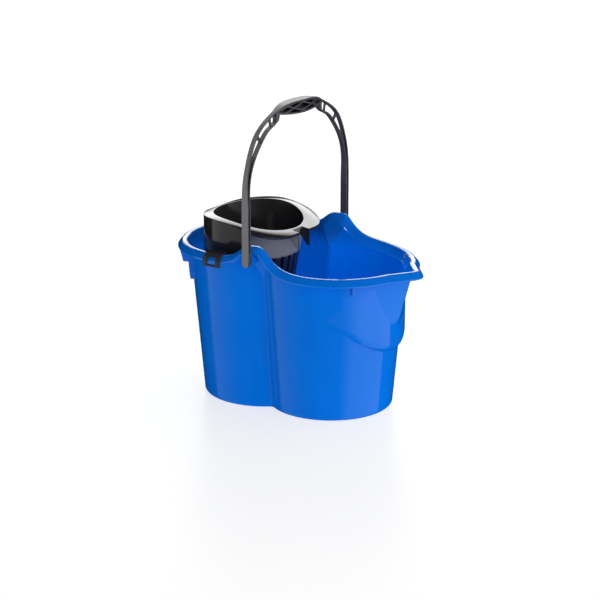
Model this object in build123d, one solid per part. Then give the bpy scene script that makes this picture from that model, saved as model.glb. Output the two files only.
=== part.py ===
from build123d import *
import os
from math import asin, atan2, cos, degrees, radians, sin, sqrt, tan

# Household mop bucket: a two-lobed bucket with a pouring spout, a swing bail and a lift-out wringer.
# Millimetres. X runs along the bucket to the spout, Y across it, Z up from the floor.
# The origin is on the floor under the bail, at the bucket's waist.

# Bucket wall: two flared round lobes side by side
LOBE_OFFSET = 56.7
BASE_RADIUS = 93.2
WALL_FLARE = 0.0845
WALL = 2.4
WAIST_FILLET = 5.0
BASE_EDGE = 6.0
FLOOR = 3.0
FOOT_WIDTH = 9.0
FOOT_RECESS = 2.5

# Rim heights: level round the wringer lobe, up to an ear at each side of the waist, down to the spout
RIM_TOP = 237.5
EAR_RISE = 20.5
SPOUT_FALL = 17.5
EAR_FLAT_START = 4.0
EAR_FLAT_END = 8.0
EAR_LEFT_REACH = 29.0
EAR_RIGHT_REACH = 22.0

# Rim section, measured out from the rim's line and down from its top
RIM_STEP = 0.4
RIM_DEPTH = 14.0
RIM_FOOT_IN = 0.6
RIM_FOOT_OUT = 0.2
RIM_SEAT = 1.2
LIP_IN = 4.5
LIP_OUT = 11.0
LIP_UNDERCUT = 3.0
SKIRT_OUT = 18.0
SKIRT_DROP = 10.5
SKIRT_EDGE = 2.0
LIP_ROUND = 5.0
RIM_ROUND = 0.9

# Spout
SPOUT_REACH = 19.8
SPOUT_HALF_ANGLE = 54.7
SPOUT_TIP_ROUND = 6.0
SPOUT_ROOT_DROP = 107.5
SPOUT_ROOT_INSET = 0.7
SPOUT_ROOT_FLANK = 12.0
SPOUT_ROOT_HALF_ANGLE = 85.0
SPOUT_FLANK_SINK = 0.5

# Pouch of the spout lobe: an upright drum above a lower edge that sags as a parabola
POUCH_DROP = 141.0
POUCH_SAG_RADIUS = 85.0
POUCH_PROUD = 9.6
POUCH_SHIFT = 8.0
POUCH_EDGE = 11.0

# Ear pockets, tipping grip at the wringer end and stacking ribs
POCKET_DEPTH = 52.0
POCKET_FOOT = 7.0
POCKET_HEAD = 44.0
POCKET_ROOT = 20.0
POCKET_STEP = 0.3
TIP_GRIP_SPREAD = 84.0
TIP_GRIP_DEPTH = 59.5
TIP_GRIP_STEP_DEPTH = 31.5
TIP_GRIP_PROUD = 5.5
TIP_GRIP_SHELF = 13.5
RIB_ANGLE = 43.4
RIB_WIDTH = 5.5
RIB_HEIGHT = 15.0
RIB_PROUD = 6.0

# Pivot between the bail and the ears
PIVOT_DROP = 18.0
PEG_RADIUS = 4.5
PEG_CLEARANCE = 0.06
PEG_LIP = 0.8
PEG_LIP_LENGTH = 1.4
BOSS_RADIUS = 8.5
BOSS_INSET = 7.5
BOSS_PROUD = 4.6
EAR_ROOF = 8.0
SIDE_CLEARANCE = 0.4

# Bail: shoulder points go in from the leg's face and up from the top of the straight leg
BAIL_REACH = 210.0
LEG_THICKNESS = 7.0
LEG_WIDTH = 10.6
SHOULDER_WIDTH = 6.4
SHOULDER_TAPER_LOW = -30.0
SHOULDER_TAPER_HIGH = 50.0
LEG_TIP_DROP = 9.4
BAIL_FLANGE = 2.3
BAIL_WEB = 2.2
SHOULDER_HEIGHT = 115.0
SHOULDER_OUTSIDE = ((12.0, 52.0), (27.0, 76.0), (46.0, 91.0))
SHOULDER_INSIDE = ((0.0, -8.0), (16.0, 44.0), (33.0, 64.0), (56.0, 82.0))
WINDOW_ANGLES = ((3.0, 11.0), (14.0, 41.0), (45.0, 68.0))
WINDOW_FAN_DROP = 90.0
GRIP_LENGTH = 122.0
GRIP_HEIGHT = 19.0
GRIP_WIDTH = 19.0
GRIP_CROWN = 8.0
GRIP_UNDER_RISE = 4.0
GRIP_HEEL = 5.0
GRIP_HEEL_RUN = 1.5
GRIP_HEEL_DROP = 7.0
GRIP_WEB = 4.4
GRIP_PANEL_TIP_DROP = 11.0
GRIP_RIB = 2.0
GRIP_RIB_PITCH = 48.0
GRIP_RIB_LEAN = 15.0

# Wringer: heights go from the rim's top, places along X from the axis of the wringer's lobe
MOUTH_BACK = 9.7
MOUTH_X = 64.8
MOUTH_Y = 75.4
CONE_TAPER = 0.17
CONE_DROP = 85.5
WRINGER_WALL = 2.4
LIP_LEFT_RISE = 40.0
LIP_MIDDLE_RISE = 38.5
LIP_RIGHT_RISE = 20.5
LIP_END_RISE = 18.0
FLANGE_BACK = 5.3
FLANGE_LENGTH = 147.0
FLANGE_WIDTH = 180.0
FLANGE_CORNER = 62.0
FLANGE_THICKNESS = 3.2
APRON_DROP = 13.5
APRON_END = 24.7
NOTCH_HALF = 14.0
GUSSET_DROP = 28.0
GUSSET_ROOT = 8.0
GUSSET_TIP = 3.0
GUSSET_SETBACK = 0.4
SLOT_COUNT = 24
SLOT_WIDTH = 6.0
SLOT_TOP_DROP = 20.0
SLOT_BOTTOM_DROP = 75.5
SLOT_INNER = 30.0
HOOK_TURN = 3.6
HOOK_WIDTH = 28.0
HOOK_THICKNESS = 2.6
HOOK_DROP = 16.5
HOOK_CLEARANCE = 0.9
HOOK_FRAME = 6.0

# Cuts run this far past what they open, and a cutting block is larger than the whole part
MARGIN = 10.0
WIDE = 1000.0

# Places worked out from the sizes above
EAR_TOP = RIM_TOP + EAR_RISE
SPOUT_RIM = RIM_TOP - SPOUT_FALL
RIM_RADIUS = BASE_RADIUS + WALL_FLARE * (RIM_TOP - RIM_DEPTH) + RIM_STEP
SKIRT_RADIUS = RIM_RADIUS + SKIRT_OUT
SPOUT_VERTEX = LOBE_OFFSET + RIM_RADIUS + SPOUT_REACH
SPOUT_ROOT_Z = RIM_TOP - SPOUT_ROOT_DROP
POUCH_BOTTOM = RIM_TOP - POUCH_DROP
POUCH_REACH = BASE_RADIUS + WALL_FLARE * POUCH_BOTTOM + POUCH_PROUD
PIVOT_Z = EAR_TOP - PIVOT_DROP
BOSS_INNER = RIM_RADIUS + BOSS_INSET
LEG_INNER = SKIRT_RADIUS + BOSS_PROUD + SIDE_CLEARANCE
LEG_OUTER = LEG_INNER + LEG_THICKNESS
BAIL_TOP = PIVOT_Z + BAIL_REACH
LEG_TOP = BAIL_TOP - SHOULDER_HEIGHT
WRINGER_X = -LOBE_OFFSET - MOUTH_BACK
FLANGE_X = -LOBE_OFFSET - FLANGE_BACK
MOUTH_RIGHT = WRINGER_X + MOUTH_X
LIP_LEFT = RIM_TOP + LIP_LEFT_RISE
LIP_MIDDLE = RIM_TOP + LIP_MIDDLE_RISE
LIP_RIGHT = RIM_TOP + LIP_RIGHT_RISE
LIP_END = RIM_TOP + LIP_END_RISE
CONE_BOTTOM = RIM_TOP - CONE_DROP


def wall_radius(z):
    return BASE_RADIUS + WALL_FLARE * z


def other_side(shape):
    """The same shape on the other side of the bucket's middle plane."""
    return mirror(shape, about=Plane.XZ)


def rim_height(x):
    """Height of the rim's top edge over a place along the bucket."""
    if x <= -LOBE_OFFSET:
        return RIM_TOP
    if x >= EAR_FLAT_END:
        share = 1 / (1 + ((x - EAR_FLAT_END) / EAR_RIGHT_REACH) ** 2)
        return SPOUT_RIM + (EAR_TOP - SPOUT_RIM) * share
    if x >= EAR_FLAT_START:
        return EAR_TOP

    def bell(distance):
        return 1 / (1 + (distance / EAR_LEFT_REACH) ** 4)

    foot = bell(EAR_FLAT_START + LOBE_OFFSET)
    share = (bell(EAR_FLAT_START - x) - foot) / (1 - foot)
    return RIM_TOP + EAR_RISE * share


def two_lobes(radius, fillet, z):
    """Level outline of two round lobes joined by a concave fillet at each side of the waist."""
    reach = radius + fillet
    fillet_y = sqrt(reach**2 - LOBE_OFFSET**2)
    tx = LOBE_OFFSET * fillet / reach
    ty = fillet_y * radius / reach
    end = LOBE_OFFSET + radius
    waist = fillet_y - fillet
    wire = Wire(
        [
            ThreePointArc((tx, -ty), (end, 0), (tx, ty)),
            ThreePointArc((tx, ty), (0, waist), (-tx, ty)),
            ThreePointArc((-tx, ty), (-end, 0), (-tx, -ty)),
            ThreePointArc((-tx, -ty), (0, -waist), (tx, -ty)),
        ]
    )
    return Pos(0, 0, z) * Face(wire)


def vessel(inset, low_z):
    """The two lobes as a solid from a level up past the ears, drawn in by an inset."""
    high_z = EAR_TOP + MARGIN
    low = two_lobes(wall_radius(low_z) - inset, WAIST_FILLET + inset, low_z)
    high = two_lobes(wall_radius(high_z) - inset, WAIST_FILLET + inset, high_z)
    return loft([low, high], ruled=True)


def pouch(inset):
    """Swelling of the spout lobe, upright above its sagging lower edge, drawn in by an inset."""
    half = POUCH_REACH
    rise = half**2 / (2 * POUCH_SAG_RADIUS)
    low_z = POUCH_BOTTOM + inset
    high_z = max(EAR_TOP, low_z + rise) + MARGIN
    sag = Bezier((-half, low_z + rise), (0, low_z - rise), (half, low_z + rise))
    lid = Polyline((half, low_z + rise), (half, high_z), (-half, high_z), (-half, low_z + rise))
    above = Pos(LOBE_OFFSET, 0, 0) * extrude(Plane.YZ * make_face([sag, lid]), 2 * POUCH_REACH)
    circle = Rot(0, 0, 180) * Circle(POUCH_REACH - POUCH_SHIFT - inset)
    drum = extrude(Pos(LOBE_OFFSET + POUCH_SHIFT, 0, POUCH_BOTTOM) * circle, high_z - POUCH_BOTTOM)
    solid = drum & above
    lower_edge = solid.faces().sort_by(Axis.Z)[0].edges().sort_by(Axis.X)[-1]
    return fillet(lower_edge, POUCH_EDGE - inset)


def spout_face(vertex, inset, z):
    """Level outline of the spout's nose: a rounded point whose flanks run along the pouch's side."""
    centre_x = LOBE_OFFSET + POUCH_SHIFT
    reach = vertex - centre_x
    sink_radius = POUCH_REACH - POUCH_SHIFT - SPOUT_FLANK_SINK
    half = asin(min(sink_radius / reach, sin(radians(SPOUT_ROOT_HALF_ANGLE))))
    flank = max(reach * cos(half), SPOUT_ROOT_FLANK)
    point = vertex - inset / sin(half)
    back_x = point - flank * cos(half)
    back_y = flank * sin(half)
    outline = Polyline((point, 0), (back_x, back_y), (centre_x, 0), (back_x, -back_y), close=True)
    face = make_face(outline)
    tip = face.vertices().sort_by(Axis.X)[-1]
    return Pos(0, 0, z) * fillet(tip, SPOUT_TIP_ROUND - inset)


def spout_nose(inset):
    """Nose under the spout, from its root on the pouch up past the foot of the rim."""
    foot_z = SPOUT_RIM - RIM_DEPTH
    root_vertex = LOBE_OFFSET + POUCH_REACH - SPOUT_ROOT_INSET
    slope = (SPOUT_VERTEX - root_vertex) / (foot_z - SPOUT_ROOT_Z)
    rise = foot_z + MARGIN - SPOUT_ROOT_Z
    steps = 5
    sections = []
    for step in range(steps + 1):
        up = rise * step / steps
        sections.append(spout_face(root_vertex + slope * up, inset, SPOUT_ROOT_Z + up))
    return loft(sections)


def ear_pocket(inset):
    """Fills the waist below the ear on the +Y side, out to the line of the rim."""
    low_z = EAR_TOP - POCKET_DEPTH
    waist_y = sqrt(wall_radius(low_z) ** 2 - LOBE_OFFSET**2) + POCKET_STEP
    inner_y = waist_y - POCKET_ROOT
    sections = []
    for z, half_width, outer_y in (
        (low_z + inset, POCKET_FOOT, waist_y),
        (EAR_TOP - RIM_DEPTH + MARGIN, POCKET_HEAD, RIM_RADIUS),
    ):
        half = half_width - inset
        y = outer_y - inset
        outline = Polyline((-half, inner_y), (half, inner_y), (half, y), (-half, y), close=True)
        sections.append(Pos(0, 0, z) * make_face(outline))
    return loft(sections, ruled=True)


def rim_section(top_z):
    """The rim's section as (out, up): from the wall's top over the lip to the skirt's lower edge."""
    wall_inside = wall_radius(min(top_z, RIM_TOP) - RIM_DEPTH) - WALL
    outline = Polyline(
        (wall_inside - RIM_FOOT_IN - RIM_RADIUS, -RIM_DEPTH),
        (LIP_IN, 0),
        (LIP_OUT, 0),
        (SKIRT_OUT, SKIRT_EDGE - SKIRT_DROP),
        (SKIRT_OUT, -SKIRT_DROP),
        (SKIRT_OUT - WALL, -SKIRT_DROP),
        (SKIRT_OUT - WALL, SKIRT_EDGE - SKIRT_DROP),
        (LIP_OUT - WALL / 2, -WALL),
        (LIP_IN + LIP_UNDERCUT, -WALL),
        (RIM_FOOT_OUT, -RIM_DEPTH),
        close=True,
    )
    face = make_face(outline)
    tops = face.vertices().group_by(Axis.Y)[-1]
    return fillet(tops, LIP_ROUND)


def rim_at(x, y, z, heading):
    """The rim's section stood upright, its out direction turned to a heading about Z."""
    place = Location((x, y, z), (0, 0, heading)) * Location((0, 0, 0), (90, 0, 0))
    return place * rim_section(z)


def wringer_end_rim():
    start = rim_at(-LOBE_OFFSET, RIM_RADIUS, RIM_TOP, 90)
    return revolve(start, Axis((-LOBE_OFFSET, 0, 0), (0, 0, 1)), 180)


def spout_edge_length():
    """Length of a straight spout edge, from the lobe's round rim to the spout's sharp corner."""
    half = radians(SPOUT_HALF_ANGLE)
    run = SPOUT_VERTEX - LOBE_OFFSET
    return run * cos(half) - sqrt(RIM_RADIUS**2 - (run * sin(half)) ** 2)


def spout_root():
    """Where the -Y straight spout edge leaves the lobe's round rim."""
    half = radians(SPOUT_HALF_ANGLE)
    length = spout_edge_length()
    return SPOUT_VERTEX - length * cos(half), -length * sin(half)


def side_rim():
    """The -Y side's rim: straight along the waist over the ear, then round the lobe to the spout."""
    root_x, root_y = spout_root()
    root_angle = degrees(atan2(root_y, root_x - LOBE_OFFSET))
    sections = []
    straight_steps = 16
    for step in range(straight_steps):
        x = LOBE_OFFSET * (2 * step / straight_steps - 1)
        sections.append(rim_at(x, -RIM_RADIUS, rim_height(x), -90))
    turn_steps = 7
    for step in range(turn_steps + 1):
        angle = -90 + (root_angle + 90) * step / turn_steps
        x = LOBE_OFFSET + RIM_RADIUS * cos(radians(angle))
        y = RIM_RADIUS * sin(radians(angle))
        sections.append(rim_at(x, y, rim_height(x), angle))
    return loft(sections)


def spout_edge():
    """The -Y straight edge of the spout's rim."""
    root_x, root_y = spout_root()
    half = radians(SPOUT_HALF_ANGLE)
    straight = spout_edge_length() - SPOUT_TIP_ROUND / tan(half)
    start = rim_at(root_x, root_y, rim_height(root_x), SPOUT_HALF_ANGLE - 90)
    return extrude(start, straight, dir=Vector(cos(half), sin(half), 0))


def spout_tip():
    """The rounded tip that joins the spout's two straight edges."""
    heading = SPOUT_HALF_ANGLE - 90
    centre_x = SPOUT_VERTEX - SPOUT_TIP_ROUND / sin(radians(SPOUT_HALF_ANGLE))
    x = centre_x + SPOUT_TIP_ROUND * cos(radians(heading))
    y = SPOUT_TIP_ROUND * sin(radians(heading))
    start = rim_at(x, y, rim_height(spout_root()[0]), heading)
    return revolve(start, Axis((centre_x, 0, 0), (0, 0, 1)), -2 * heading)


def rim():
    front = side_rim()
    edge = spout_edge()
    return [wringer_end_rim(), front, other_side(front), edge, other_side(edge), spout_tip()]


def below_rim():
    """Everything under the foot of the rim, as a slab shaped by the bucket's side view."""
    drop = RIM_DEPTH - RIM_SEAT
    last_x = SPOUT_VERTEX - SPOUT_REACH
    points = [(-WIDE, RIM_TOP - drop)]
    steps = 64
    for step in range(steps + 1):
        x = -LOBE_OFFSET + (last_x + LOBE_OFFSET) * step / steps
        points.append((x, rim_height(x) - drop))
    points += [(WIDE, rim_height(last_x) - drop), (WIDE, -MARGIN), (-WIDE, -MARGIN)]
    return extrude(Plane.XZ * make_face(Polyline(*points, close=True)), WIDE, both=True)


def ear_boss():
    """Round pivot boss under the ear on the +Y side, with a block that ties it to the rim."""
    length = SKIRT_RADIUS + BOSS_PROUD - BOSS_INNER
    place = Location((0, BOSS_INNER, PIVOT_Z), (-90, 0, 0))
    boss = place * extrude(Circle(BOSS_RADIUS), length)
    depth = RIM_RADIUS + LIP_OUT + RIM_ROUND - BOSS_INNER
    height = EAR_TOP - EAR_ROOF - PIVOT_Z
    block = Box(2 * BOSS_RADIUS, depth, height, align=(Align.CENTER, Align.MIN, Align.MIN))
    return boss + Pos(0, BOSS_INNER, PIVOT_Z) * block


def tipping_grip():
    """Stepped hand grip moulded under the rim at the wringer end."""
    low_z = RIM_TOP - TIP_GRIP_DEPTH
    step_z = RIM_TOP - TIP_GRIP_STEP_DEPTH
    foot_z = RIM_TOP - RIM_DEPTH
    high_z = RIM_TOP - SKIRT_DROP + SKIRT_EDGE
    root = WALL / 2
    low = wall_radius(low_z)
    step = wall_radius(step_z)
    outer = SKIRT_RADIUS - root
    outline = Polyline(
        (low - root, low_z),
        (low + TIP_GRIP_PROUD, low_z),
        (step + TIP_GRIP_PROUD, step_z - root),
        (step + TIP_GRIP_SHELF, step_z),
        (outer, high_z - SKIRT_EDGE),
        (outer, high_z),
        (RIM_RADIUS + root, high_z),
        (wall_radius(foot_z) - root, foot_z),
        close=True,
    )
    ring = revolve(Plane.XZ * make_face(outline), Axis.Z, TIP_GRIP_SPREAD)
    return Pos(-LOBE_OFFSET, 0, 0) * Rot(0, 0, 180 - TIP_GRIP_SPREAD / 2) * ring


def stacking_rib(angle):
    """Small upright rib under the rim of the spout lobe."""
    top = SPOUT_RIM - SKIRT_DROP
    root = wall_radius(top - RIB_HEIGHT) - WALL / 2
    outer = wall_radius(top - RIB_HEIGHT / 2) + RIB_PROUD
    box = Box(outer - root, RIB_WIDTH, RIB_HEIGHT, align=(Align.MIN, Align.CENTER, Align.MAX))
    return Pos(LOBE_OFFSET, 0, 0) * Rot(0, 0, angle) * Pos(root, 0, top) * box


def foot_recess():
    """Shallow hollow in each lobe's underside, inside the foot ring and a bar across the waist."""
    outline = two_lobes(BASE_RADIUS - FOOT_WIDTH, WAIST_FILLET + FOOT_WIDTH, 0)
    bar = Rectangle(FOOT_WIDTH, WIDE)
    return extrude(outline - bar, FOOT_RECESS)


def make_bucket():
    pocket = ear_pocket(0)
    body = vessel(0, 0)
    body = fillet(body.faces().sort_by(Axis.Z)[0].edges(), BASE_EDGE)
    outside = body + pouch(0) + spout_nose(0) + pocket + other_side(pocket)
    room = ear_pocket(WALL)
    inside = vessel(WALL, FOOT_RECESS + FLOOR) + pouch(WALL) + spout_nose(WALL) + room + other_side(room)
    boss = ear_boss()
    added = [boss, other_side(boss), tipping_grip(), stacking_rib(RIB_ANGLE), stacking_rib(-RIB_ANGLE)]
    solid = ((outside - inside) & below_rim()) + rim() + added
    bore_length = 2 * (LEG_INNER + MARGIN)
    bore = Location((0, 0, PIVOT_Z), (90, 0, 0)) * Cylinder(PEG_RADIUS + PEG_CLEARANCE, bore_length)
    between_bosses = Box(WIDE, 2 * BOSS_INNER - RIM_ROUND, WIDE)
    return solid - foot_recess() - (bore - between_bosses)


def bail_outline():
    """The bail's side view in Y and Z, both legs and the grip between them."""
    grip_half = GRIP_LENGTH / 2
    under = BAIL_TOP - GRIP_HEIGHT
    foot = PIVOT_Z - LEG_TIP_DROP
    palm = (grip_half - GRIP_HEEL, under + GRIP_UNDER_RISE)
    heel = (palm[0] + GRIP_HEEL_RUN, palm[1] - GRIP_HEEL_DROP)
    crown = (grip_half, BAIL_TOP - GRIP_CROWN)
    inside_points = [(LEG_INNER - back, LEG_TOP + up) for back, up in SHOULDER_INSIDE]
    outside_points = [(LEG_OUTER - back, LEG_TOP + up) for back, up in SHOULDER_OUTSIDE]
    edges = [
        Line((LEG_INNER, foot), (LEG_OUTER, foot)),
        Line((LEG_OUTER, foot), (LEG_OUTER, LEG_TOP)),
        Spline((LEG_OUTER, LEG_TOP), *outside_points, crown, (0, BAIL_TOP), tangents=[(0, 1), (-1, 0)]),
        Line(palm, heel),
        Spline(*inside_points, heel, tangents=[(0, 1), (-1, 1)]),
        Line(inside_points[0], (LEG_INNER, foot)),
    ]
    underside = ThreePointArc((-palm[0], palm[1]), (0, under), palm)
    return Face(Wire(edges + [edge.mirror(Plane.YZ) for edge in edges] + [underside]))


def bail_width():
    """The bail's width along X: wide legs that narrow to the shoulders."""
    half_leg = LEG_WIDTH / 2
    half_top = SHOULDER_WIDTH / 2
    low = (half_leg, LEG_TOP + SHOULDER_TAPER_LOW)
    high = (half_top, LEG_TOP + SHOULDER_TAPER_HIGH)
    edges = [
        Line((0, 0), (half_leg, 0)),
        Line((half_leg, 0), low),
        Spline(low, high, tangents=[(0, 1), (0, 1)]),
        Line(high, (half_top, BAIL_TOP + MARGIN)),
        Line((half_top, BAIL_TOP + MARGIN), (0, BAIL_TOP + MARGIN)),
    ]
    front = Face(Wire(edges + [edge.mirror(Plane.YZ) for edge in edges]))
    return extrude(Plane.XZ * front, WIDE, both=True)


def side_view(face, half_width):
    """Stands a side view drawn in Y and Z up about X = 0."""
    return extrude(Plane.YZ * face, half_width, both=True)


def bail_recess():
    """The outline inside the bail's edge flanges, above its pivots."""
    inner = offset(bail_outline(), amount=-BAIL_FLANGE, kind=Kind.INTERSECTION).to_splines()
    start = PIVOT_Z + LEG_TIP_DROP + BAIL_FLANGE
    return inner & (Pos(0, start) * Rectangle(WIDE, WIDE, align=(Align.CENTER, Align.MIN)))


def window_fan():
    """Slices of a fan from a point under a shoulder, which the shoulder's windows are cut to."""
    centre = Vector(GRIP_LENGTH / 2, BAIL_TOP - WINDOW_FAN_DROP)
    slices = []
    for first, last in WINDOW_ANGLES:
        corners = [centre]
        for angle in (first, (first + last) / 2, last):
            turn = radians(angle)
            corners.append(centre + Vector(sin(turn), cos(turn)) * LEG_OUTER)
        piece = make_face(Polyline(*corners, close=True))
        slices += [piece, mirror(piece, about=Plane.YZ)]
    return slices


def grip_half_length():
    """Half of the grip with the post at its end."""
    return GRIP_LENGTH / 2 + BAIL_FLANGE


def grip_block():
    """Hand grip: the bail's middle swelled to a lens in plan."""
    half_length = grip_half_length()
    half_end = SHOULDER_WIDTH / 2
    half_grip = GRIP_WIDTH / 2
    plan = make_face(
        [
            ThreePointArc((half_end, -half_length), (half_grip, 0), (half_end, half_length)),
            Line((half_end, half_length), (-half_end, half_length)),
            ThreePointArc((-half_end, half_length), (-half_grip, 0), (-half_end, -half_length)),
            Line((-half_end, -half_length), (half_end, -half_length)),
        ]
    )
    return extrude(Pos(0, 0, LEG_TOP) * plan, BAIL_TOP) & side_view(bail_outline(), GRIP_WIDTH)


def grip_panels():
    """Lens-shaped hollow in each side of the grip, crossed by two pairs of slanting ribs."""
    half = GRIP_LENGTH / 2 - GRIP_RIB / 2
    top = BAIL_TOP - BAIL_FLANGE
    bottom = BAIL_TOP - GRIP_HEIGHT + BAIL_FLANGE
    tip = BAIL_TOP - GRIP_PANEL_TIP_DROP
    lens = make_face(
        [
            ThreePointArc((-half, tip), (0, top), (half, tip)),
            ThreePointArc((half, tip), (0, bottom), (-half, tip)),
        ]
    )
    rib = Rectangle(GRIP_RIB_PITCH / cos(radians(GRIP_RIB_LEAN)) + 2 * GRIP_RIB, GRIP_RIB)
    for place in (-GRIP_RIB_PITCH / 2, GRIP_RIB_PITCH / 2):
        for lean in (-GRIP_RIB_LEAN, GRIP_RIB_LEAN):
            lens = lens - Location((place, (top + bottom) / 2, 0), (0, 0, lean)) * rib
    return side_view(lens, GRIP_WIDTH) - Box(GRIP_WEB, WIDE, 2 * WIDE)


def peg():
    """Pivot peg on the inner face of the +Y leg, with a snap lip behind the ear's boss."""
    lip_y = BOSS_INNER - SIDE_CLEARANCE - PEG_LIP_LENGTH
    shank = extrude(Circle(PEG_RADIUS), LEG_INNER + BAIL_FLANGE - lip_y)
    lip = extrude(Circle(PEG_RADIUS + PEG_LIP), PEG_LIP_LENGTH)
    return Location((0, lip_y, PIVOT_Z), (-90, 0, 0)) * (shank + lip)


def leg_end():
    """What both legs' rounded lower tips leave off their square ends."""
    half = LEG_WIDTH / 2
    square = Pos(0, PIVOT_Z - LEG_TIP_DROP / 2) * Rectangle(2 * LEG_WIDTH, LEG_TIP_DROP)
    tip = Pos(0, PIVOT_Z - LEG_TIP_DROP + half) * Circle(half)
    neck = Pos(0, PIVOT_Z) * Rectangle(LEG_WIDTH, 2 * (LEG_TIP_DROP - half))
    corners = extrude(Plane.XZ * (square - tip - neck), WIDE, both=True)
    return corners - Box(WIDE, 2 * LEG_INNER - PEG_CLEARANCE, 2 * WIDE)


def make_bail():
    arch = side_view(bail_outline(), LEG_WIDTH / 2) & bail_width()
    recess = bail_recess()
    hollows = side_view(recess, LEG_WIDTH) - Box(BAIL_WEB, WIDE, 2 * WIDE)
    grip_room = Pos(0, 0, BAIL_TOP) * Box(4 * LEG_WIDTH, 2 * grip_half_length(), 2 * SHOULDER_HEIGHT)
    windows = [side_view(piece & recess, LEG_WIDTH) for piece in window_fan()]
    front_peg = peg()
    solid = arch + grip_block() - (hollows - grip_room) - windows - grip_panels()
    return solid + [front_peg, other_side(front_peg)] - leg_end()


def lip_curve(drop):
    """Side view of the wringer's arched lip, or of a curve below it, to past both ends of the flange."""
    reach = FLANGE_LENGTH / 2 + MARGIN
    return Spline(
        (FLANGE_X - reach, LIP_LEFT - drop),
        (WRINGER_X, LIP_MIDDLE - drop),
        (MOUTH_RIGHT, LIP_RIGHT - drop),
        (FLANGE_X + reach, LIP_END - drop),
        tangents=[(1, 0), (1, 0)],
    )


def under_lip():
    """Everything below the wringer's lip."""
    lip = lip_curve(0)
    left = lip @ 0
    right = lip @ 1
    low = CONE_BOTTOM - MARGIN
    below = Polyline(right, (right.X, low), (left.X, low), left)
    return extrude(Plane.XZ * make_face([lip, below]), FLANGE_WIDTH, both=True)


def lip_band():
    """Band of the flange's thickness under the wringer's lip."""
    upper = lip_curve(0)
    lower = lip_curve(FLANGE_THICKNESS)
    ends = [Line(upper @ 0, lower @ 0), Line(upper @ 1, lower @ 1)]
    return extrude(Plane.XZ * make_face([upper, lower] + ends), FLANGE_WIDTH, both=True)


def cone(grow, low_z):
    """Tapered oval well of the wringer, grown outwards, from a level up past the lip."""
    sections = []
    for z in (low_z, LIP_LEFT + MARGIN):
        inset = CONE_TAPER * (LIP_MIDDLE - z) - grow
        sections.append(Pos(WRINGER_X, 0, z) * Ellipse(MOUTH_X - inset, MOUTH_Y - inset))
    return loft(sections, ruled=True)


def flange_plan(inset):
    length = FLANGE_LENGTH - 2 * inset
    width = FLANGE_WIDTH - 2 * inset
    return Pos(FLANGE_X, 0) * RectangleRounded(length, width, FLANGE_CORNER - inset)


def wringer_flange():
    """Arched top round the mouth, with a notch towards the spout."""
    notch = Pos(MOUTH_RIGHT, 0) * Rectangle(WIDE, 2 * NOTCH_HALF, align=(Align.MIN, Align.CENTER))
    return extrude(flange_plan(0) - notch, WIDE) & lip_band()


def wringer_apron():
    """Upright outer wall round the half away from the spout."""
    plan = flange_plan(0) - flange_plan(WRINGER_WALL)
    end_x = -LOBE_OFFSET + APRON_END
    plan = plan - Pos(end_x, 0) * Rectangle(WIDE, WIDE, align=(Align.MIN, Align.CENTER))
    return (Pos(0, 0, RIM_TOP - APRON_DROP) * extrude(plan, WIDE)) & under_lip()


def gusset():
    """Thin upright web beside the notch on the +Y side, deepest under the flange's end."""
    right = FLANGE_X + FLANGE_LENGTH / 2 - GUSSET_SETBACK
    left = MOUTH_RIGHT - GUSSET_ROOT
    top = LIP_RIGHT + WRINGER_WALL
    low = LIP_RIGHT - GUSSET_DROP
    outline = Polyline(
        (left, top),
        (right, top),
        (right, low),
        (right - GUSSET_TIP, low),
        (left, top - GUSSET_ROOT),
        close=True,
    )
    web = extrude(Plane.XZ * make_face(outline), WRINGER_WALL / 2, both=True)
    return (Pos(0, NOTCH_HALF + WRINGER_WALL / 2, 0) * web) & under_lip()


def hook():
    """The -Y clip: it climbs inside the rim, crosses its lip and hangs outside as an open frame."""
    gap = HOOK_CLEARANCE
    thick = HOOK_THICKNESS
    start = FLANGE_WIDTH / 2 - WRINGER_WALL
    low = RIM_TOP - RIM_DEPTH
    over = RIM_TOP + gap
    foot = RIM_TOP - HOOK_DROP
    knee = RIM_TOP - SKIRT_DROP + SKIRT_EDGE + gap / 2
    riser = RIM_RADIUS - WALL - 3 * gap
    lip_in = RIM_RADIUS + LIP_IN - gap
    lip_out = RIM_RADIUS + LIP_OUT + gap
    skirt = SKIRT_RADIUS + gap
    outline = Polyline(
        (start, low),
        (riser, low),
        (riser, low + thick),
        (lip_in, over),
        (lip_out, over),
        (skirt, knee),
        (skirt, foot),
        (skirt + thick, foot),
        (skirt + thick, knee + thick / 2),
        (lip_out + thick / 2, over + thick),
        (lip_in - thick / 2, over + thick),
        (riser - thick, low + 3 * thick / 2),
        (start, low + thick),
        close=True,
    )
    spread = degrees(HOOK_WIDTH / (RIM_RADIUS + LIP_OUT))
    clip = Rot(0, 0, -spread / 2) * revolve(Plane.XZ * make_face(outline), Axis.Z, spread)
    width = HOOK_WIDTH - 2 * HOOK_FRAME
    height = HOOK_DROP - HOOK_FRAME
    window = Box(4 * thick, width, height, align=(Align.CENTER, Align.CENTER, Align.MIN))
    clip = clip - Pos(skirt, 0, foot + HOOK_FRAME / 2) * window
    return Pos(-LOBE_OFFSET, 0, 0) * Rot(0, 0, -90 - HOOK_TURN) * clip


def cone_slots():
    """Drain slots round the well, leaving a plain band above and a ring below."""
    height = SLOT_BOTTOM_DROP - SLOT_TOP_DROP
    length = MOUTH_Y + MARGIN - SLOT_INNER
    slot = Box(length, SLOT_WIDTH, height, align=(Align.MIN, Align.CENTER, Align.MAX))
    slot = Pos(SLOT_INNER, 0, RIM_TOP - SLOT_TOP_DROP) * slot
    turns = [360 * (index + 0.5) / SLOT_COUNT for index in range(SLOT_COUNT)]
    return [Pos(WRINGER_X, 0, 0) * Rot(0, 0, turn) * slot for turn in turns]


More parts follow.
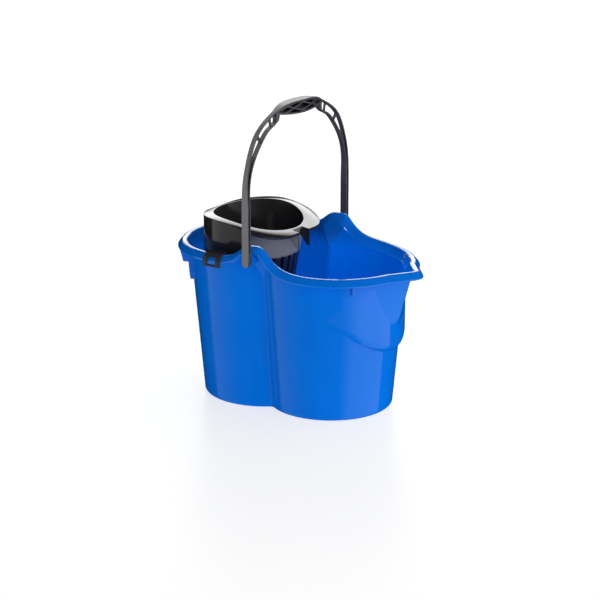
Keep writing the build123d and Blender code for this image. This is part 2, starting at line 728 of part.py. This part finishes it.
def make_wringer():
    well = (cone(WRINGER_WALL, CONE_BOTTOM) & under_lip()) - cone_slots()
    web = gusset()
    clip = hook()
    added = [wringer_flange(), wringer_apron(), web, other_side(web), clip, other_side(clip)]
    return well + added - cone(0, CONE_BOTTOM + WRINGER_WALL)


def main():
    os.makedirs("parts", exist_ok=True)
    nodes = {"bucket": make_bucket(), "bail": make_bail(), "wringer": make_wringer()}
    for name, shape in nodes.items():
        export_step(shape, "parts/" + name + ".step")
        print(name, "solids", len(shape.solids()), "volume", round(shape.volume))


main()
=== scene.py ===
from math import cos, radians, sin

import bpy
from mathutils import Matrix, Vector

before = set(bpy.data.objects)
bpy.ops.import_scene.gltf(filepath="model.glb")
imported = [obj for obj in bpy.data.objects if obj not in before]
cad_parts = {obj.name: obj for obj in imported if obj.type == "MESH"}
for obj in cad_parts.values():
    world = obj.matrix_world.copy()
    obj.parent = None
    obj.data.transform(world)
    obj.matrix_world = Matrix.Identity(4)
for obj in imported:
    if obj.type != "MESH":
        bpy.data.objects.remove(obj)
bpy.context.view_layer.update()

scene = bpy.context.scene
scene.view_settings.view_transform = "Standard"
MM = 0.001
WHITE = (1.0, 1.0, 1.0, 1.0)

# Camera: the photograph's angle and framing
CAMERA_AZIMUTH = radians(31.236)
CAMERA_ELEVATION = radians(16.845)
CAMERA_DISTANCE = 2.39677
CAMERA_TARGET = Vector((0.0, 0.0, 0.130))
CAMERA_LENS = 96.0
CAMERA_SENSOR = 36.0
CAMERA_SHIFT = (0.00372, 0.01884)
CAMERA_REACH = 50.0

# The camera's own level directions: towards it, and to its right
TOWARDS = Vector((sin(CAMERA_AZIMUTH), -cos(CAMERA_AZIMUTH), 0.0))
RIGHT = Vector((cos(CAMERA_AZIMUTH), sin(CAMERA_AZIMUTH), 0.0))

# Even light of the tent: its level, how it falls with height, and its share at each side
TENT_LEVEL = 1.62
TENT_ZENITH = 0.38
TENT_HEIGHT = (0.15, 0.85)
TENT_LEFT = 0.08
TENT_RIGHT = 1.20
TENT_SIDE = (-1.0, 0.3)

# Panels that gloss mirrors: levels, and angles to the right or left of the camera
RIGHT_PANEL = 0.56
RIGHT_RISE = (radians(12), radians(42))
RIGHT_FADE = (radians(98), radians(103))
LEFT_PANEL = 0.36
LEFT_RISE = (radians(20), radians(114))
LEFT_FADE = (radians(101), radians(108))
LEFT_CURVE = 1.5
FRONT_DOME = 0.03
DOME_HEIGHT = (-0.05, 0.15)

# Brighter band low on the panels, which upright faces mirror
BAND_GAIN = 0.25
BAND_HEIGHT = (-0.40, -0.28)
BAND_MIDDLE = 0.14
BAND_LEFT = 0.55
BAND_TURN = (radians(15), radians(40))

# Light behind the object, which level tops mirror
BACK_LIGHT = 4.0
BACK_TURN = (radians(146), radians(168))
BACK_RISE = (0.12, 0.22)
BACK_FADE = (0.66, 0.76)

# Floor: the share of its own light, and that light's level for the object and for the camera
FLOOR_GLOW = 0.55
FLOOR_WHITE = 1.5
FLOOR_SHOWN = 1.27
FLOOR_HALF = 8.0
FLOOR_CELLS = 8

# Bucket: how far its lobes' axes stand from its middle, and the height of the rim's foot
LOBE_AXIS = 56.7 * MM
RIM_FOOT = 0.220
RIM_BLEND = 15 * MM

# Bail: the middle of its loop
BAIL_HUB = (0.0, 0.0, 0.300)

# Wringer: the cone's axis and its reach along X and Y, the slots' top, the gussets and the flange's crown
CONE_AXIS = (-66.4 * MM, 0.0, 0.0)
CONE_REACH = (65.5 * MM, 76.0 * MM, 1.0)
CONE_EDGE = (1.02, 1.05)
SLOT_TOP = 0.2175
SLOT_BLEND = 3 * MM
GUSSET_REACH = 17.5 * MM
CROWN_START = 0.985
CROWN_CURVE = 2.0
FLANGE_FALL = 43 * MM

# How squarely a face has to look outwards, inwards or straight across to be counted
LOOKS_OUT = (0.45, 0.70)
LOOKS_IN = (-0.6, -0.2)
LOOKS_ACROSS = (0.85, 0.95)

# Planes in which a direction is measured
LEVEL = (1.0, 1.0, 0.0)
ACROSS = (0.0, 1.0, 1.0)

# Moulded plastic: scales of its patterns, and what they add to the roughness
CLOUD_SCALE = 11.0
CLOUD_SHARE = 0.65
FLOW_STRETCH = (70.0, 70.0, 5.0)
SPECKLE_SCALE = 900.0
EDGE_REACH = 1.3 * MM
EDGE_TURN = (0.02, 0.35)
EDGE_PATCH_SCALE = 90.0
WEAR_ROUGH = 0.12
LINE_STRETCH = (26.0, 1500.0, 1500.0)
LINE_PATCHES = 22.0
LINE_FADE = 0.04
LINE_ROUGH = 0.10
LINE_DEPTH = 0.004 * MM
SMUDGE_SCALE = 17.0
SMUDGE_SHARE = 0.6
FINE_SCALE = 1400.0
PEEL_SCALE = 190.0
MATT_ROUGH = 0.20
PLASTIC_IOR = 1.5


class Graph:
    """Builds a node tree call by call. A socket given as a value is linked, and anything else is set."""

    def __init__(self, tree):
        self.tree = tree
        tree.nodes.clear()

    def put(self, socket, value):
        if isinstance(value, bpy.types.NodeSocket):
            self.tree.links.new(value, socket)
        else:
            socket.default_value = value

    def node(self, kind, inputs=None, **settings):
        made = self.tree.nodes.new(kind)
        for name, value in settings.items():
            setattr(made, name, value)
        for name, value in (inputs or {}).items():
            self.put(made.inputs[name], value)
        return made

    def math(self, operation, *values):
        made = self.node("ShaderNodeMath", operation=operation)
        for socket, value in zip(made.inputs, values):
            self.put(socket, value)
        return made.outputs["Value"]

    def vector(self, operation, *values):
        made = self.node("ShaderNodeVectorMath", operation=operation)
        for socket, value in zip(made.inputs, values):
            self.put(socket, value)
        scalar = operation in ("DOT_PRODUCT", "LENGTH")
        return made.outputs["Value" if scalar else "Vector"]

    def parts(self, vector):
        return self.node("ShaderNodeSeparateXYZ", {"Vector": vector}).outputs

    def ramp(self, value, low, high, start=0.0, end=1.0):
        """A smooth step from start to end as the value goes from low to high."""
        made = self.node(
            "ShaderNodeMapRange",
            {"Value": value, "From Min": low, "From Max": high, "To Min": start, "To Max": end},
            interpolation_type="SMOOTHSTEP",
        )
        return made.outputs["Result"]

    def mix(self, factor, first, second):
        made = self.node("ShaderNodeMix", data_type="RGBA")
        self.put(made.inputs["Factor"], factor)
        self.put(made.inputs[6], first)
        self.put(made.inputs[7], second)
        return made.outputs[2]

    def blend(self, factor, first, second):
        """A mix of two plain numbers."""
        made = self.node("ShaderNodeMix", data_type="FLOAT")
        self.put(made.inputs["Factor"], factor)
        self.put(made.inputs[2], first)
        self.put(made.inputs[3], second)
        return made.outputs[0]

    def noise(self, where, scale, detail=2.0, roughness=0.5, distortion=0.0):
        inputs = {
            "Vector": where,
            "Scale": scale,
            "Detail": detail,
            "Roughness": roughness,
            "Distortion": distortion,
        }
        return self.node("ShaderNodeTexNoise", inputs).outputs["Fac"]

    def stretched(self, where, turn, scale):
        made = self.node("ShaderNodeMapping", {"Vector": where, "Rotation": turn, "Scale": scale})
        return made.outputs["Vector"]

    def bump(self, height, distance, normal):
        inputs = {"Height": height, "Distance": distance, "Strength": 1.0, "Normal": normal}
        return self.node("ShaderNodeBump", inputs).outputs["Normal"]


def rgba(colour):
    return (*colour, 1.0)


def make_camera():
    data = bpy.data.cameras.new("camera")
    data.lens = CAMERA_LENS
    data.sensor_width = CAMERA_SENSOR
    data.shift_x, data.shift_y = CAMERA_SHIFT
    data.clip_end = CAMERA_REACH
    camera = bpy.data.objects.new("camera", data)
    scene.collection.objects.link(camera)
    back = TOWARDS * cos(CAMERA_ELEVATION) + Vector((0.0, 0.0, sin(CAMERA_ELEVATION)))
    camera.location = CAMERA_TARGET + back * CAMERA_DISTANCE
    camera.rotation_euler = back.to_track_quat("Z", "Y").to_euler()
    scene.camera = camera


def tent_light(g, height, side):
    """Even light of the tent: weaker overhead, and weaker from the camera's left."""
    level = g.ramp(height, *TENT_HEIGHT, TENT_LEVEL, TENT_ZENITH)
    return g.math("MULTIPLY", level, g.ramp(side, *TENT_SIDE, TENT_LEFT, TENT_RIGHT))


def mirrored_light(g, height, angle):
    """What gloss mirrors: a panel at each side of a dark camera, and a light behind the object."""
    left_angle = g.math("MULTIPLY", angle, -1.0)
    right_panel = g.ramp(angle, *RIGHT_RISE, 0.0, RIGHT_PANEL)
    left_panel = g.math("MULTIPLY", g.math("POWER", g.ramp(left_angle, *LEFT_RISE), LEFT_CURVE), LEFT_PANEL)
    panels = g.math("ADD", right_panel, left_panel)
    band = g.ramp(height, *BAND_HEIGHT)
    panels = g.math("MULTIPLY", panels, g.math("ADD", 1.0, g.math("MULTIPLY", band, BAND_GAIN)))
    band_level = g.ramp(left_angle, *BAND_TURN, BAND_MIDDLE, BAND_LEFT)
    panels = g.math("ADD", panels, g.math("MULTIPLY", band, band_level))
    right_end = g.ramp(angle, *RIGHT_FADE, 1.0, 0.0)
    left_end = g.ramp(left_angle, *LEFT_FADE, 1.0, 0.0)
    panels = g.math("MULTIPLY", panels, g.math("MULTIPLY", right_end, left_end))
    panels = g.math("MULTIPLY", panels, g.ramp(height, *DOME_HEIGHT, 1.0, FRONT_DOME))
    back_height = g.math("MULTIPLY", g.ramp(height, *BACK_RISE), g.ramp(height, *BACK_FADE, 1.0, 0.0))
    back_level = g.ramp(g.math("ABSOLUTE", angle), *BACK_TURN, 0.0, BACK_LIGHT)
    return g.math("ADD", panels, g.math("MULTIPLY", back_height, back_level))


def make_world():
    world = bpy.data.worlds.new("light_tent")
    world.use_nodes = True
    scene.world = world
    g = Graph(world.node_tree)
    direction = g.node("ShaderNodeTexCoord").outputs["Generated"]
    height = g.parts(direction)["Z"]
    front = g.vector("DOT_PRODUCT", direction, TOWARDS)
    side = g.vector("DOT_PRODUCT", direction, RIGHT)
    angle = g.math("ARCTAN2", side, front)
    path = g.node("ShaderNodeLightPath").outputs
    level = g.blend(path["Is Glossy Ray"], tent_light(g, height, side), mirrored_light(g, height, angle))
    shown = g.blend(path["Is Camera Ray"], level, 1.0)
    tent = g.node("ShaderNodeBackground", {"Color": WHITE, "Strength": shown})
    output = g.node("ShaderNodeOutputWorld")
    g.put(output.inputs["Surface"], tent.outputs["Background"])


def new_material(name):
    material = bpy.data.materials.new(name)
    material.use_nodes = True
    return material, Graph(material.node_tree)


def finish_material(g, shader):
    output = g.node("ShaderNodeOutputMaterial")
    g.put(output.inputs["Surface"], shader)


def floor_material():
    """White sheet with a soft sheen, lit from below as a light table is, with the object's shadow kept."""
    material, g = new_material("floor_white")
    where = g.node("ShaderNodeTexCoord").outputs["Object"]
    tone = g.ramp(g.noise(where, 3.0, 3.0), 0.3, 0.7)
    colour = g.mix(tone, rgba((0.92, 0.92, 0.92)), rgba((0.94, 0.94, 0.94)))
    sheet = g.node(
        "ShaderNodeBsdfPrincipled",
        {"Base Color": colour, "Roughness": 0.34, "IOR": 1.25},
    )
    path = g.node("ShaderNodeLightPath").outputs
    glow = g.blend(path["Is Camera Ray"], FLOOR_WHITE, FLOOR_SHOWN)
    white = g.node("ShaderNodeEmission", {"Color": WHITE, "Strength": glow})
    shown = g.node("ShaderNodeMixShader", {"Fac": FLOOR_GLOW})
    g.put(shown.inputs[1], sheet.outputs["BSDF"])
    g.put(shown.inputs[2], white.outputs["Emission"])
    finish_material(g, shown.outputs["Shader"])
    return material


def make_floor():
    """A level sheet, cut in a grid so that it shades evenly. Gloss mirrors the tent through it."""
    step = 2 * FLOOR_HALF / FLOOR_CELLS
    row = FLOOR_CELLS + 1
    points = [(i * step - FLOOR_HALF, j * step - FLOOR_HALF, 0.0) for j in range(row) for i in range(row)]
    faces = []
    for j in range(FLOOR_CELLS):
        for i in range(FLOOR_CELLS):
            corner = j * row + i
            faces.append((corner, corner + 1, corner + row + 1, corner + row))
    mesh = bpy.data.meshes.new("floor")
    mesh.from_pydata(points, [], faces)
    mesh.materials.append(floor_material())
    floor = bpy.data.objects.new("floor", mesh)
    floor.visible_glossy = False
    scene.collection.objects.link(floor)


def edge_mask(g, radius, low, high):
    """Nearness to a sharp edge, from how far a bevel of the surface would turn its normal."""
    bevel = g.node("ShaderNodeBevel", {"Radius": radius}, samples=6).outputs["Normal"]
    normal = g.node("ShaderNodeNewGeometry").outputs["Normal"]
    turned = g.math("SUBTRACT", 1.0, g.vector("DOT_PRODUCT", bevel, normal))
    return g.ramp(turned, low, high)


def scratches(g, where, turn, threshold):
    """Sparse fine hairlines along one slanted direction."""
    streaks = g.noise(g.stretched(where, turn, LINE_STRETCH), 1.0, 1.0)
    patches = g.ramp(g.noise(where, LINE_PATCHES), 0.45, 0.75)
    return g.math("MULTIPLY", g.ramp(streaks, threshold, threshold + LINE_FADE), patches)


def own_normal(g):
    """The surface's normal in the piece's own axes, so that what depends on it moves with the piece."""
    normal = g.node("ShaderNodeNewGeometry").outputs["Normal"]
    turned = g.node("ShaderNodeVectorTransform", {"Vector": normal}, vector_type="NORMAL")
    turned.convert_from = "WORLD"
    turned.convert_to = "OBJECT"
    return turned.outputs["Vector"]


def offset(g, where, hub, plane):
    """The way from a hub to a place, measured in a plane."""
    return g.vector("MULTIPLY", g.vector("SUBTRACT", where, hub), plane)


def facing(g, where, hub, plane):
    """One on faces that look straight away from a hub, and minus one on those that look at it."""
    return g.vector("DOT_PRODUCT", own_normal(g), g.vector("NORMALIZE", offset(g, where, hub, plane)))


def loop_outside(g, where):
    """One on the bail's faces that look out of its loop."""
    return g.ramp(facing(g, where, BAIL_HUB, ACROSS), *LOOKS_OUT)


def cone_distance(g, where):
    """Distance from the wringer cone's axis, as a share of its reach at the mouth."""
    away = offset(g, where, CONE_AXIS, LEVEL)
    return g.vector("LENGTH", g.vector("DIVIDE", away, CONE_REACH))


def cone_outside(g, where):
    """One on the plain band above the wringer cone's slots and on the gussets' outer sides."""
    near_cone = g.ramp(cone_distance(g, where), *CONE_EDGE, 1.0, 0.0)
    on_cone = g.math("MULTIPLY", g.ramp(facing(g, where, CONE_AXIS, LEVEL), *LOOKS_OUT), near_cone)
    place = g.parts(where)
    outward = g.math("MULTIPLY", g.parts(own_normal(g))["Y"], g.math("SIGN", place["Y"]))
    near_notch = g.ramp(g.math("ABSOLUTE", place["Y"]), GUSSET_REACH, GUSSET_REACH + MM, 1.0, 0.0)
    on_gusset = g.math("MULTIPLY", g.ramp(outward, *LOOKS_ACROSS), near_notch)
    above_slots = g.ramp(place["Z"], SLOT_TOP - SLOT_BLEND, SLOT_TOP + SLOT_BLEND)
    return g.math("MULTIPLY", g.math("MAXIMUM", on_cone, on_gusset), above_slots)


def flange_crown(g, where):
    """Height field that lets the wringer's flange fall away from its mouth, as a rolled lip does."""
    beyond = g.math("MAXIMUM", g.math("SUBTRACT", cone_distance(g, where), CROWN_START), 0.0)
    return g.math("MULTIPLY", g.math("POWER", beyond, CROWN_CURVE), -1.0)


def inside_mask(g, where):
    """One on the walls that face the axis of their own lobe, below the rim."""
    place = g.parts(where)
    lobe_x = g.math("MULTIPLY", g.math("SIGN", place["X"]), LOBE_AXIS)
    hub = g.node("ShaderNodeCombineXYZ", {"X": lobe_x}).outputs["Vector"]
    inward = g.ramp(facing(g, where, hub, LEVEL), *LOOKS_IN, 1.0, 0.0)
    below = g.ramp(place["Z"], RIM_FOOT - RIM_BLEND, RIM_FOOT + RIM_BLEND, 1.0, 0.0)
    return g.math("MULTIPLY", inward, below)


def moulded_plastic(
    name, deep, light, worn_and_highlit, gloss, peel, grain, rounding, painted_light_and_matt=None, glow=None, crown=None, painted_hollow_shade=None
):
    """Injection-moulded plastic: clouded pigment, flow streaks, orange peel, grain, hairlines and worn edges,
    whose lighter colour is also a painted highlight where edges catch light.

    A matt finish with painted light, where there is one, gives the faces that have it, as a mask, and the
    lighter colour painted on them for the light they catch; those faces are also made rougher.
    A glow is a painted glow: the colour of light that the inside walls emit themselves, standing in for light
    that would come through thin walls.
    A crown is a height field with its height, which turns the normals of faces that are nearly flat.
    A painted hollow shade, where there is one, gives the reach within which hollows are darkened, and the
    colour of that painted shade.
    """
    material, g = new_material(name)
    where = g.node("ShaderNodeTexCoord").outputs["Object"]
    cloud = g.noise(where, CLOUD_SCALE, 4.0, 0.55)
    flow = g.noise(g.stretched(where, (0.0, 0.0, 0.0), FLOW_STRETCH), 1.0, 3.0, 0.6)
    pigment = g.blend(CLOUD_SHARE, flow, cloud)
    colour = g.mix(g.ramp(pigment, 0.32, 0.68), rgba(deep), rgba(light))
    # Painted light: faces in the mask get a lighter colour standing in for the light they catch; the added
    # roughness below is their matt finish.
    if painted_light_and_matt is not None:
        mask, painted_light_colour = painted_light_and_matt
        outward = mask(g, where)
        speckle = g.ramp(g.noise(where, SPECKLE_SCALE, 3.0, 0.7), 0.30, 0.70, 0.75, 1.0)
        colour = g.mix(g.math("MULTIPLY", outward, speckle), colour, rgba(painted_light_colour))
    # Edges get a lighter colour: wear, and where that colour is pale, as on the bail, a painted highlight
    # along the edges.
    patchy = g.ramp(g.noise(where, EDGE_PATCH_SCALE, 4.0, 0.65), 0.35, 0.70, 0.15, 0.75)
    rubbed_and_highlit = g.math("MULTIPLY", edge_mask(g, EDGE_REACH, *EDGE_TURN), patchy)
    colour = g.mix(rubbed_and_highlit, colour, rgba(worn_and_highlit))
    # Painted shade: hollows that the ambient occlusion node finds get a darker colour, as shade falling there
    # would give.
    if painted_hollow_shade is not None:
        reach, shade_colour = painted_hollow_shade
        open_share = g.node("ShaderNodeAmbientOcclusion", {"Distance": reach}, samples=8).outputs["AO"]
        colour = g.mix(g.ramp(open_share, 0.45, 0.85, 1.0, 0.0), colour, rgba(shade_colour))

    lines = g.math(
        "MAXIMUM",
        scratches(g, where, (0.5, 0.9, 0.3), 0.70),
        scratches(g, where, (1.1, -0.4, 1.7), 0.72),
    )
    smudge = g.ramp(g.noise(where, SMUDGE_SCALE, 5.0, 0.6, 0.4), 0.35, 0.72)
    fine = g.noise(where, FINE_SCALE, 2.0, 0.6)
    rough = g.blend(g.blend(SMUDGE_SHARE, fine, smudge), *gloss)
    rough = g.math("ADD", rough, g.math("MULTIPLY", lines, LINE_ROUGH))
    rough = g.math("ADD", rough, g.math("MULTIPLY", rubbed_and_highlit, WEAR_ROUGH))
    if painted_light_and_matt is not None:
        rough = g.math("ADD", rough, g.math("MULTIPLY", outward, MATT_ROUGH))

    normal = g.node("ShaderNodeBevel", {"Radius": rounding}, samples=4).outputs["Normal"]
    if crown is not None:
        field, fall = crown
        normal = g.bump(field(g, where), fall, normal)
    normal = g.bump(g.noise(where, PEEL_SCALE), peel, normal)
    normal = g.bump(fine, grain, normal)
    normal = g.bump(g.math("SUBTRACT", 1.0, lines), LINE_DEPTH, normal)
    shader = g.node(
        "ShaderNodeBsdfPrincipled",
        {"Base Color": colour, "Roughness": rough, "IOR": PLASTIC_IOR, "Normal": normal},
    )
    # Painted glow: the bucket's inside walls below the rim emit light of their own, standing in for light
    # through the thin walls.
    if glow is not None:
        g.put(shader.inputs["Emission Color"], rgba(glow))
        even = g.ramp(cloud, 0.2, 0.8, 0.85, 1.0)
        g.put(shader.inputs["Emission Strength"], g.math("MULTIPLY", inside_mask(g, where), even))
    finish_material(g, shader.outputs["BSDF"])
    return material


def dress(node, material):
    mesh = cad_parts[node].data
    mesh.materials.clear()
    mesh.materials.append(material)


make_camera()
make_world()
make_floor()
dress(
    "bucket",
    moulded_plastic(
        "bucket_blue",
        deep=(0.0004, 0.148, 0.675),
        light=(0.0006, 0.162, 0.725),
        worn_and_highlit=(0.015, 0.230, 0.800),
        gloss=(0.05, 0.11),
        peel=0.010 * MM,
        grain=0.0012 * MM,
        rounding=0.4 * MM,
        # Painted glow on the bucket's inside walls.
        glow=(0.0, 0.044, 0.230),
    ),
)
dress(
    "wringer",
    moulded_plastic(
        "wringer_charcoal",
        deep=(0.015, 0.015, 0.0165),
        light=(0.020, 0.020, 0.022),
        worn_and_highlit=(0.040, 0.040, 0.042),
        gloss=(0.10, 0.20),
        peel=0.008 * MM,
        grain=0.002 * MM,
        rounding=1.6 * MM,
        # Painted reflection: a light colour on the band above the slots and on the gussets' outer sides,
        # where the charcoal catches light.
        painted_light_and_matt=(cone_outside, (0.295, 0.285, 0.230)),
        crown=(flange_crown, FLANGE_FALL),
    ),
)
dress(
    "bail",
    moulded_plastic(
        "bail_grey",
        deep=(0.048, 0.049, 0.056),
        light=(0.062, 0.064, 0.072),
        # Pale edge colour: wear plus a painted highlight outlining the bail's edges.
        worn_and_highlit=(0.280, 0.280, 0.290),
        gloss=(0.24, 0.36),
        peel=0.006 * MM,
        grain=0.003 * MM,
        rounding=0.6 * MM,
        # Painted light: a lighter grey on the faces that look out of the loop, darker grey left on the
        # others.
        painted_light_and_matt=(loop_outside, (0.185, 0.186, 0.190)),
        # Painted shade: the bail's hollows are darkened in its colour.
        painted_hollow_shade=(7.0 * MM, (0.010, 0.010, 0.012)),
    ),
)
